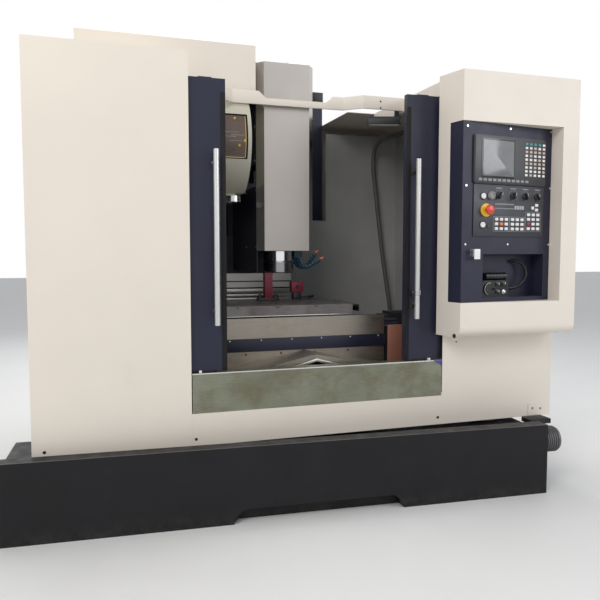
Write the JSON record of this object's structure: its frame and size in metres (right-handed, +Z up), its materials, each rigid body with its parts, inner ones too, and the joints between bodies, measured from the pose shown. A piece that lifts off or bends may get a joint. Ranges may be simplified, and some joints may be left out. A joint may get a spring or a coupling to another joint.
{
  "type": "cnc machining center",
  "caption": "Vertical machining centre with sliding-door enclosure, operator cabinet, X-Y table, spindle head, disc tool magazine and coolant tank.",
  "frame": {"origin": "middle of the machine's outline on the floor, all moving parts at rest", "axes": "+X to the right along the front, +Y from the front into the machine, +Z up"},
  "size_m": [2.73, 2.453, 2.4],
  "materials": {
    "casting": "dark painted casting",
    "cream": "fine textured ivory paint",
    "navy": "dark navy semi-gloss paint",
    "tank": "black-blue paint",
    "steel": "brushed stainless",
    "sill": "bright stainless",
    "grey": "grey sheet",
    "ground": "ground steel",
    "alu": "satin aluminium",
    "black": "black plastic",
    "motor": "black enamel",
    "red": "red plastic",
    "white": "white plastic",
    "glass": "clear polycarbonate",
    "rubber": "black rubber",
    "blue": "blue jointed plastic",
    "drum": "pale paint",
    "pots": "brown plastic",
    "table": "ground cast iron",
    "redsteel": "red paint",
    "display": "grey bezel",
    "keypad": "dark membrane",
    "chrome": "chromed steel"
  },
  "bodies": {
    "machine": {"base_casting": "casting", "column_casting": "casting", "leveling_feet": "motor", "guide_rails": "ground", "left_panel": "cream", "front_skirt": "cream", "sill_plate": "sill", "left_housing": "cream", "right_housing": "cream", "inner_walls": "grey", "roof_rim": "cream", "operator_cabinet": "cream", "operator_panel": "navy", "display_unit": "display", "keypad_panel": "keypad", "panel_trim": "alu", "pendant_body": "black", "pendant_cord": "rubber", "axis_motors": "motor", "magazine_housing": "drum", "ecab_body": "cream", "tank": "tank", "tank_motors": "motor", "work_hose": "rubber"},
    "door_l": {"door_left": "navy", "window_left": "glass", "handle_left": "alu"},
    "door_r": {"door_right": "navy", "window_right": "glass", "handle_right": "alu"},
    "saddle": {"saddle": "casting", "saddle_cover": "steel", "x_motor": "motor"},
    "table": {"table": "table", "transport_blocks": "redsteel"},
    "x_screw": {"x_screw": "ground"},
    "y_screw": {"y_screw": "ground"},
    "z_screw": {"z_screw": "ground"},
    "head": {"head_casting": "casting", "head_cover": "steel", "head_side_covers": "navy", "spindle_motor": "motor", "coolant_nozzles": "blue"},
    "spindle": {"spindle": "chrome"},
    "z_cover_high": {"z_cover_high": "steel"},
    "z_cover_low": {"z_cover_low": "steel"},
    "y_cover_rear": {"y_cover_rear": "steel"},
    "y_cover_front": {"y_cover_front": "steel"},
    "tool_disc": {"tool_disc": "pots"},
    "changer_arm": {"changer_arm": "ground"},
    "estop": {"estop_button": "red"},
    "start_button": {"start_button": "white"},
    "stop_button": {"stop_button": "white"},
    "selector_1": {"selector_1": "black"},
    "selector_2": {"selector_2": "black"},
    "selector_3": {"selector_3": "black"},
    "selector_4": {"selector_4": "black"},
    "pendant_wheel": {"pendant_wheel": "chrome"},
    "ecab_door": {"ecab_door": "cream"},
    "main_switch": {"main_switch": "red"}
  },
  "joints": [
    {"name": "door_left_slide", "type": "slide", "parent": "machine", "child": "door_l", "axis": [1, 0, 0], "range_m": [0, 0.447]},
    {"name": "door_right_slide", "type": "slide", "parent": "machine", "child": "door_r", "axis": [-1, 0, 0], "range_m": [0, 0.447]},
    {"name": "saddle_slide", "type": "slide", "parent": "machine", "child": "saddle", "axis": [0, 1, 0], "range_m": [-0.05, 0.45]},
    {"name": "table_slide", "type": "slide", "parent": "saddle", "child": "table", "axis": [1, 0, 0], "range_m": [-0.18, 0.62]},
    {"name": "head_slide", "type": "slide", "parent": "machine", "child": "head", "axis": [0, 0, 1], "range_m": [0, 0.51]},
    {"name": "spindle_turn", "type": "hinge", "parent": "head", "child": "spindle", "pos_m": [0.065, -0.18849, 1.078], "axis": [0, 0, 1], "continuous": true},
    {"name": "x_screw_turn", "type": "hinge", "parent": "saddle", "child": "x_screw", "pos_m": [0.065, -0.39849, 0.812], "axis": [1, 0, 0], "continuous": true},
    {"name": "y_screw_turn", "type": "hinge", "parent": "machine", "child": "y_screw", "pos_m": [0.065, -0.7685, 0.58], "axis": [0, 1, 0], "continuous": true},
    {"name": "z_screw_turn", "type": "hinge", "parent": "machine", "child": "z_screw", "pos_m": [0.065, 0.34051, 1.12], "axis": [0, 0, 1], "continuous": true},
    {"name": "z_cover_high_slide", "type": "slide", "parent": "machine", "child": "z_cover_high", "axis": [0, 0, 1], "range_m": [0, 0.3401]},
    {"name": "z_cover_low_slide", "type": "slide", "parent": "machine", "child": "z_cover_low", "axis": [0, 0, 1], "range_m": [0, 0.1701]},
    {"name": "y_cover_rear_slide", "type": "slide", "parent": "machine", "child": "y_cover_rear", "axis": [0, 1, 0], "range_m": [-0.0334, 0.3001]},
    {"name": "y_cover_front_slide", "type": "slide", "parent": "machine", "child": "y_cover_front", "axis": [0, 1, 0], "range_m": [-0.0167, 0.1501]},
    {"name": "tool_disc_turn", "type": "hinge", "parent": "machine", "child": "tool_disc", "pos_m": [-0.475, -0.15849, 1.795], "axis": [1, 0, 0], "continuous": true},
    {"name": "changer_arm_turn", "type": "hinge", "parent": "machine", "child": "changer_arm", "pos_m": [-0.285, -0.18849, 1.45], "axis": [0, 0, 1], "range_deg": [-15, 15]},
    {"name": "estop_press", "type": "slide", "parent": "machine", "child": "estop", "axis": [-0.1325, 0.9912, 0], "range_m": [0, 0.006], "stiffness_N_per_m": 300},
    {"name": "start_press", "type": "slide", "parent": "machine", "child": "start_button", "axis": [-0.1325, 0.9912, 0], "range_m": [0, 0.0025], "stiffness_N_per_m": 300},
    {"name": "stop_press", "type": "slide", "parent": "machine", "child": "stop_button", "axis": [-0.1325, 0.9912, 0], "range_m": [0, 0.0025], "stiffness_N_per_m": 300},
    {"name": "selector_1_turn", "type": "hinge", "parent": "machine", "child": "selector_1", "pos_m": [0.91872, -1.1093, 1.469], "axis": [-0.1325, 0.9912, 0], "range_deg": [-60, 60]},
    {"name": "selector_2_turn", "type": "hinge", "parent": "machine", "child": "selector_2", "pos_m": [1.00892, -1.09724, 1.469], "axis": [-0.1325, 0.9912, 0], "range_deg": [-60, 60]},
    {"name": "selector_3_turn", "type": "hinge", "parent": "machine", "child": "selector_3", "pos_m": [1.08821, -1.08664, 1.469], "axis": [-0.1325, 0.9912, 0], "range_deg": [-60, 60]},
    {"name": "selector_4_turn", "type": "hinge", "parent": "machine", "child": "selector_4", "pos_m": [1.16652, -1.07617, 1.469], "axis": [-0.1325, 0.9912, 0], "range_deg": [-60, 60]},
    {"name": "pendant_wheel_turn", "type": "hinge", "parent": "machine", "child": "pendant_wheel", "pos_m": [0.88396, -1.09074, 1.0122], "axis": [-0.1325, 0.9912, 0], "continuous": true},
    {"name": "ecab_door_hinge", "type": "hinge", "parent": "machine", "child": "ecab_door", "pos_m": [0.501, 1.18151, 0.7], "axis": [0, 0, 1], "range_deg": [-110, 0]},
    {"name": "main_switch_turn", "type": "hinge", "parent": "ecab_door", "child": "main_switch", "pos_m": [-0.255, 1.18151, 1.63], "axis": [0, 1, 0], "range_deg": [-90, 0]}
  ],
  "couplings": [
    {"joint": "x_screw_turn", "follows": "table_slide", "rad_per_m": 392.7},
    {"joint": "y_screw_turn", "follows": "saddle_slide", "rad_per_m": 392.7},
    {"joint": "z_screw_turn", "follows": "head_slide", "rad_per_m": 392.7},
    {"joint": "z_cover_high_slide", "follows": "head_slide", "ratio": 0.66667},
    {"joint": "z_cover_low_slide", "follows": "head_slide", "ratio": 0.33333},
    {"joint": "y_cover_rear_slide", "follows": "saddle_slide", "ratio": 0.66667},
    {"joint": "y_cover_front_slide", "follows": "saddle_slide", "ratio": 0.33333}
  ]
}
